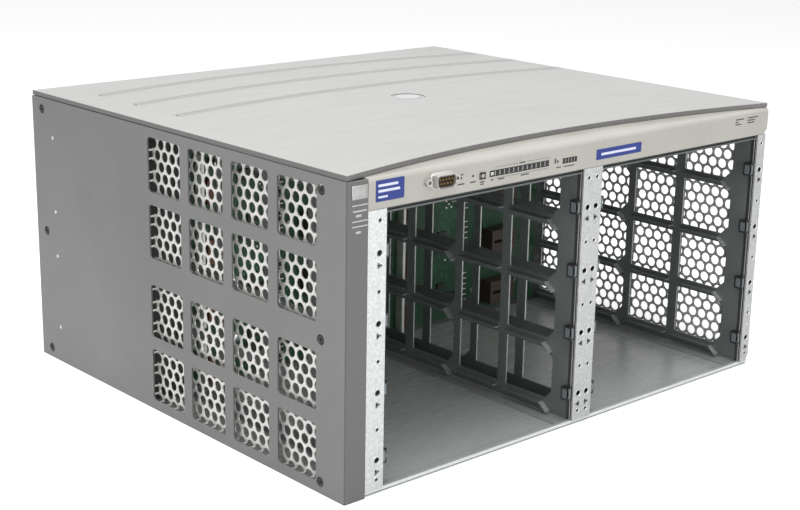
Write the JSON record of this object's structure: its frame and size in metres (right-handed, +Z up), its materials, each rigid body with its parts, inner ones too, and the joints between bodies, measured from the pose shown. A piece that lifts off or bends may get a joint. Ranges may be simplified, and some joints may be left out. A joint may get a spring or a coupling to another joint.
{
  "type": "modular chassis switch",
  "caption": "Rack-width network switch chassis with side-by-side bays of empty module slots, pierced card walls, perforated side vents and a bezel with a serial port.",
  "frame": {"origin": "centre of the case's underside, on the surface it stands on", "axes": "-Y out of the open front with the slots, +Z up, +X to the right when seen from the front"},
  "size_m": [0.442, 0.4234, 0.2227],
  "materials": {
    "side_paint": "fine textured grey powder coat",
    "lid_paint": "satin grey powder coat",
    "inner_steel": "satin grey green coat",
    "zinc": "spangled galvanized sheet",
    "bright_zinc": "bright zinc plate",
    "bezel_plastic": "matte warm grey moulding",
    "black_steel": "black oxide",
    "nickel": "satin nickel plate",
    "black_plastic": "matte black",
    "gold": "thin gold plate",
    "board_green": "glossy solder mask",
    "alloy": "extruded aluminium"
  },
  "bodies": {
    "chassis": {"left_side_cover": "side_paint", "right_side_cover": "side_paint", "top_cover": "lid_paint", "base_tray": "inner_steel", "left_card_wall": "inner_steel", "divider_left_wall": "inner_steel", "divider_right_wall": "inner_steel", "right_card_wall": "inner_steel", "rear_bulkhead": "inner_steel", "left_front_strip": "zinc", "centre_front_strip": "zinc", "right_front_strip": "zinc", "cross_rail": "zinc", "left_vent_screen": "bright_zinc", "right_vent_screen": "bright_zinc", "rear_panel": "zinc", "front_bezel": "bezel_plastic", "left_cover_screws": "black_steel", "right_cover_screws": "black_steel", "left_cover_rivets": "nickel", "right_cover_rivets": "nickel", "backplane_screws": "nickel", "supply_thumb_screws": "nickel", "left_card_catches": "black_plastic", "divider_left_catches": "black_plastic", "divider_right_catches": "black_plastic", "right_card_catches": "black_plastic", "serial_port_shell": "nickel", "serial_jack_posts": "nickel", "serial_port_insert": "black_plastic", "serial_port_pins": "gold", "push_switches": "black_plastic", "lamp_window": "black_plastic", "selector_window": "black_plastic", "control_board": "board_green", "backplane_board": "board_green", "main_board": "board_green", "backplane_sockets": "black_plastic", "heat_sinks": "alloy", "fan_frame_1": "black_plastic", "fan_frame_2": "black_plastic", "fan_frame_3": "black_plastic", "power_supply_1": "zinc", "power_inlet_1": "black_plastic", "power_inlet_pins_1": "nickel", "power_handle_1": "black_plastic", "power_supply_2": "zinc", "power_inlet_2": "black_plastic", "power_inlet_pins_2": "nickel", "power_handle_2": "black_plastic"},
    "mode_key": {"mode_button": "bezel_plastic"},
    "reset_key": {"reset_button": "black_plastic"},
    "clear_key": {"clear_button": "black_plastic"},
    "rotor_1": {"fan_rotor_1": "black_plastic"},
    "rotor_2": {"fan_rotor_2": "black_plastic"},
    "rotor_3": {"fan_rotor_3": "black_plastic"}
  },
  "joints": [
    {"name": "mode_press", "type": "slide", "parent": "chassis", "child": "mode_key", "axis": [0, 1, 0], "range_m": [0, 0.0005], "stiffness_N_per_m": 400},
    {"name": "reset_press", "type": "slide", "parent": "chassis", "child": "reset_key", "axis": [0, 1, 0], "range_m": [0, 0.0005], "stiffness_N_per_m": 400},
    {"name": "clear_press", "type": "slide", "parent": "chassis", "child": "clear_key", "axis": [0, 1, 0], "range_m": [0, 0.0005], "stiffness_N_per_m": 400},
    {"name": "fan_spin_1", "type": "hinge", "parent": "chassis", "child": "rotor_1", "pos_m": [-0.14, 0.1833, 0.145], "axis": [0, 1, 0], "continuous": true},
    {"name": "fan_spin_2", "type": "hinge", "parent": "chassis", "child": "rotor_2", "pos_m": [0, 0.1833, 0.145], "axis": [0, 1, 0], "continuous": true},
    {"name": "fan_spin_3", "type": "hinge", "parent": "chassis", "child": "rotor_3", "pos_m": [0.14, 0.1833, 0.145], "axis": [0, 1, 0], "continuous": true}
  ]
}
